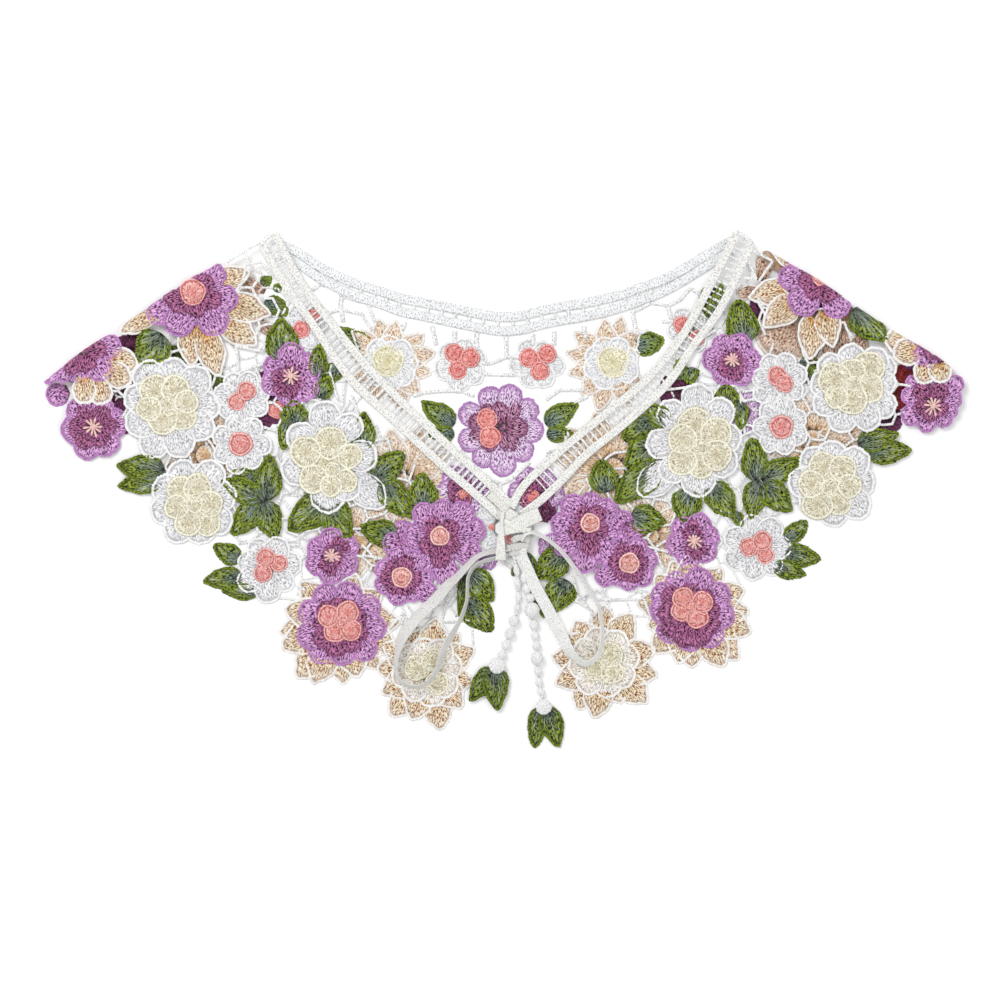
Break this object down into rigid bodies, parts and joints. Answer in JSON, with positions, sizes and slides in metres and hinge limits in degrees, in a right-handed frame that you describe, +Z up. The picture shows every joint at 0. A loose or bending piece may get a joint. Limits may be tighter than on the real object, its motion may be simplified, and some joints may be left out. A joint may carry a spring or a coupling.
{
  "type": "lace collar",
  "caption": "Capelet collar of embroidered floral lace, laid flat with its fronts folded over the back and tied with a ribbon bow and bead strings.",
  "frame": {"origin": "middle of the collar's outline without its ribbons and strings, on the surface that it lies on", "axes": "+X across the collar from left to right, +Y from the hem towards the neck, +Z up from the surface"},
  "size_m": [0.5994, 0.335, 0.008],
  "materials": {
    "lace_back": "embroidered lace, wrong side",
    "lace_front": "embroidered satin-stitch lace",
    "tape": "woven ladder tape",
    "ribbon": "satin ribbon",
    "beads": "embroidered thread beads",
    "leaves": "satin-stitch thread"
  },
  "bodies": {
    "root": {"lace_back": "lace_back", "lace_front_left": "lace_front", "lace_front_right": "lace_front", "neckband_outer": "tape", "neckband_inner": "tape", "neck_tape_left": "tape", "neck_tape_right": "tape", "tie_knot": "ribbon", "tie_strap": "ribbon", "tie_loop_left": "ribbon", "tie_loop_right": "ribbon", "bead_string_left": "beads", "bead_string_right": "beads", "bead_cap_left": "beads", "bead_cap_right": "beads", "leaf_tassel_left": "leaves", "leaf_tassel_right": "leaves"}
  },
  "joints": []
}
